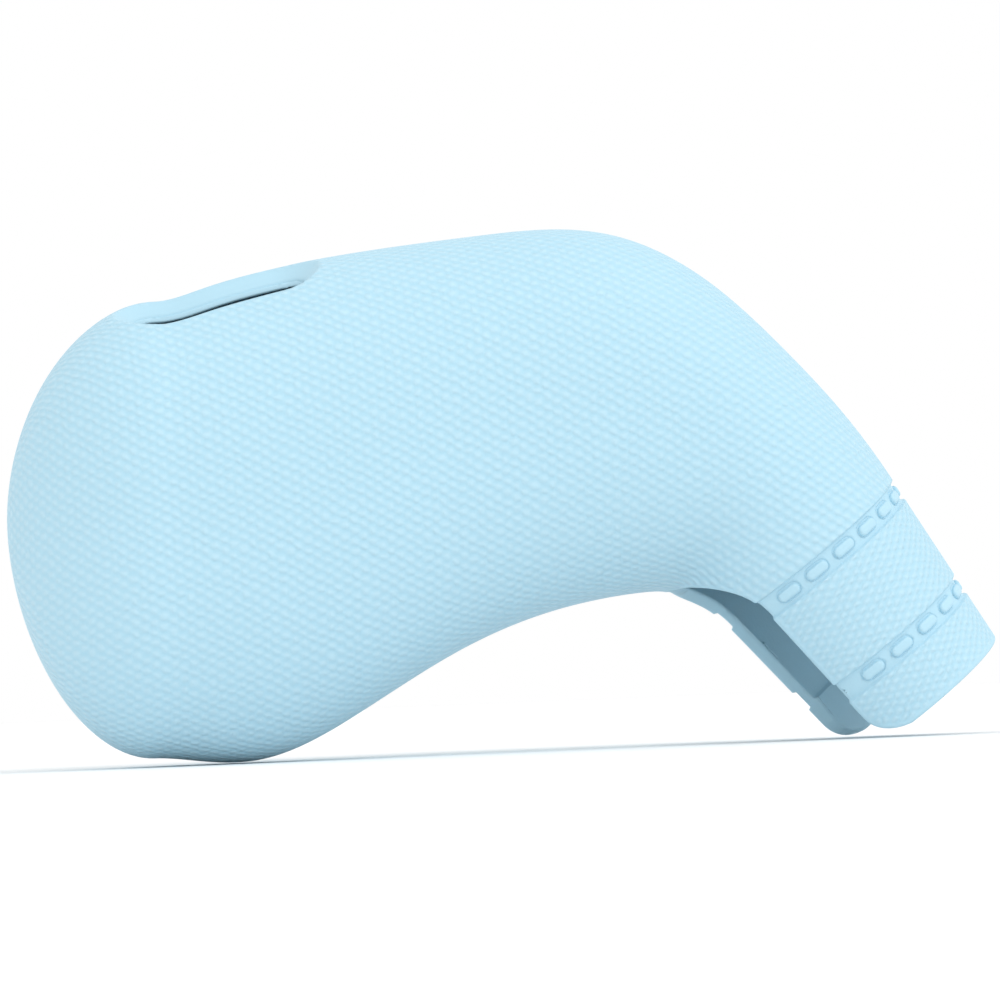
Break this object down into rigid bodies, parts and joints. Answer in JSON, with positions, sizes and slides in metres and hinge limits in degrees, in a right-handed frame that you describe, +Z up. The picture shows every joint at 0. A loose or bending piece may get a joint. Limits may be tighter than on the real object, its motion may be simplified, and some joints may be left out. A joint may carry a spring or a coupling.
{
  "type": "gear shift knob cover",
  "caption": "Soft one-piece slip-on cover for an automatic gear-shift knob: closed grained bulb with a bevelled button slot, turning into a tapered neck split along its underside.",
  "frame": {"origin": "centre of the bounding box in plan, at the level of the surface it rests on", "axes": "+Z up, +X from the blunt end of the bulb towards the neck, -Y towards the side that the button slot is offset to"},
  "size_m": [0.1197, 0.037, 0.063],
  "materials": {
    "grained_silicone": "matt light blue silicone with a fine embossed scale grain",
    "smooth_silicone": "matt light blue silicone, smooth"
  },
  "bodies": {
    "sleeve": {"knob_sleeve": "grained_silicone", "button_slot_lip": "smooth_silicone", "spine_collar": "grained_silicone", "spine_cuff": "grained_silicone", "spine_upper_stitches": "smooth_silicone", "spine_lower_stitches": "smooth_silicone"},
    "front_flap": {"front_collar": "grained_silicone", "front_cuff": "grained_silicone", "front_upper_stitches": "smooth_silicone", "front_lower_stitches": "smooth_silicone"},
    "back_flap": {"back_collar": "grained_silicone", "back_cuff": "grained_silicone", "back_upper_stitches": "smooth_silicone", "back_lower_stitches": "smooth_silicone"}
  },
  "joints": [
    {"name": "front_flap_spread", "type": "hinge", "parent": "sleeve", "child": "front_flap", "pos_m": [0.04428, -0.00493, 0.03328], "axis": [-0.5314, -0.0322, 0.8465], "range_deg": [-12, 35], "stiffness_Nm_per_rad": 0.02},
    {"name": "back_flap_spread", "type": "hinge", "parent": "sleeve", "child": "back_flap", "pos_m": [0.04428, 0.00493, 0.03328], "axis": [0.5314, -0.0322, -0.8465], "range_deg": [-12, 35], "stiffness_Nm_per_rad": 0.02}
  ]
}
